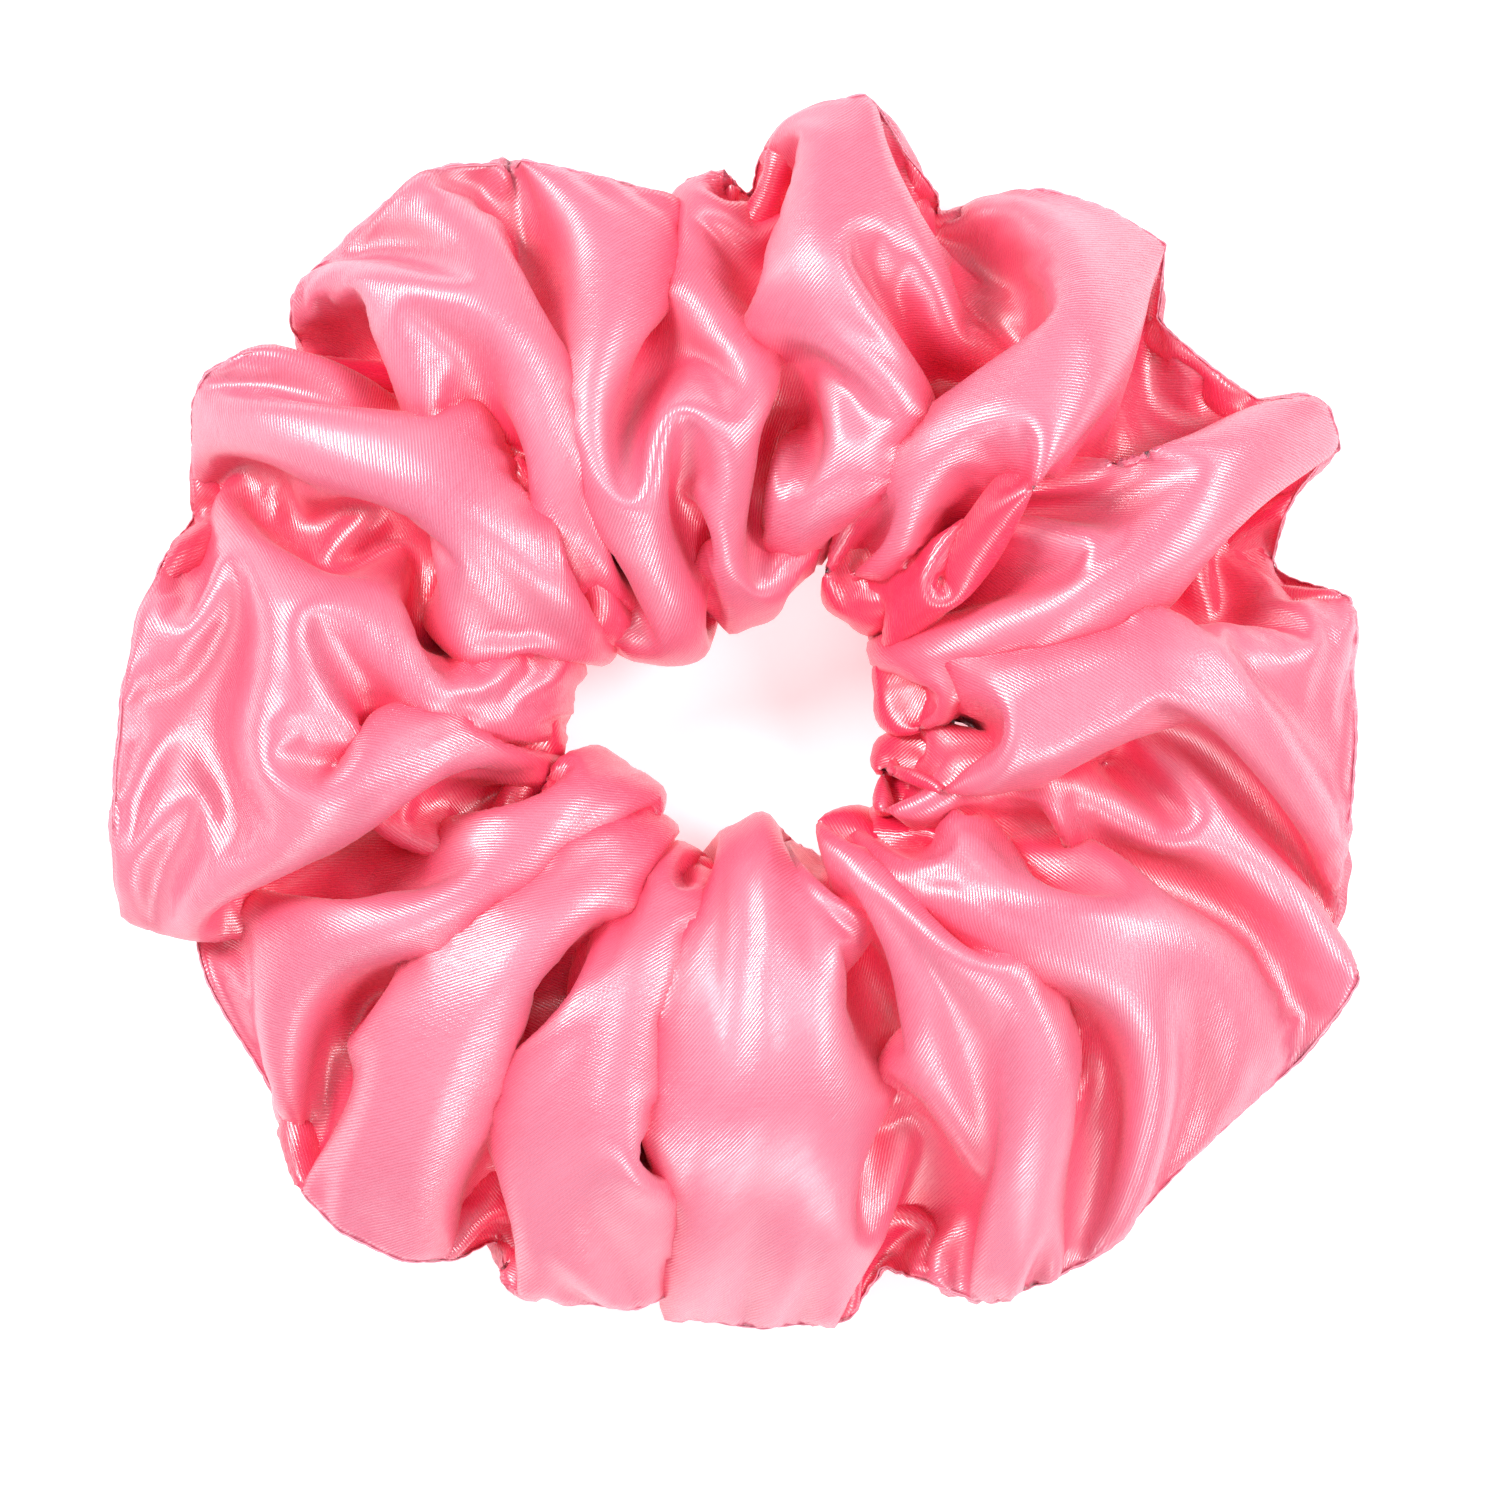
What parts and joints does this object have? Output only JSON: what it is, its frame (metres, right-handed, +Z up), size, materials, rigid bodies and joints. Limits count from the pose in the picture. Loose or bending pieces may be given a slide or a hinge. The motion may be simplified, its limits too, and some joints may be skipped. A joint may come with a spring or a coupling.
{
  "type": "scrunchie",
  "caption": "Oversized satin scrunchie, a gathered fabric sleeve with puffed lobes round a flat elastic ring, lying flat with an open middle for hair.",
  "frame": {"origin": "middle of the outline at the height of the table the scrunchie lies on", "axes": "+Z up through the hair hole, +X to the right and +Y away from the viewer, with the closing seam about 112 degrees round from +X"},
  "size_m": [0.1502, 0.146, 0.034],
  "materials": {
    "satin": "glossy pink satin weave",
    "long_seam_needle_thread": "matte polyester thread",
    "long_seam_bobbin_thread": "matte polyester thread",
    "closing_seam_needle_thread": "matte polyester thread",
    "closing_seam_bobbin_thread": "matte polyester thread",
    "white_braided_elastic": "matte braid over rubber cores",
    "elastic_join_needle_thread": "matte polyester thread",
    "elastic_join_bobbin_thread": "matte polyester thread"
  },
  "bodies": {
    "sleeve": {"satin_sleeve": "satin", "long_seam_needle_thread": "long_seam_needle_thread", "long_seam_bobbin_thread": "long_seam_bobbin_thread", "closing_seam_needle_thread": "closing_seam_needle_thread", "closing_seam_bobbin_thread": "closing_seam_bobbin_thread"},
    "elastic": {"elastic_band": "white_braided_elastic", "elastic_join_needle_thread": "elastic_join_needle_thread", "elastic_join_bobbin_thread": "elastic_join_bobbin_thread"}
  },
  "joints": [
    {"name": "elastic_slip", "type": "hinge", "parent": "sleeve", "child": "elastic", "pos_m": [0.0004, -0.0002, 0.013], "axis": [0, 0, 1], "continuous": true}
  ]
}
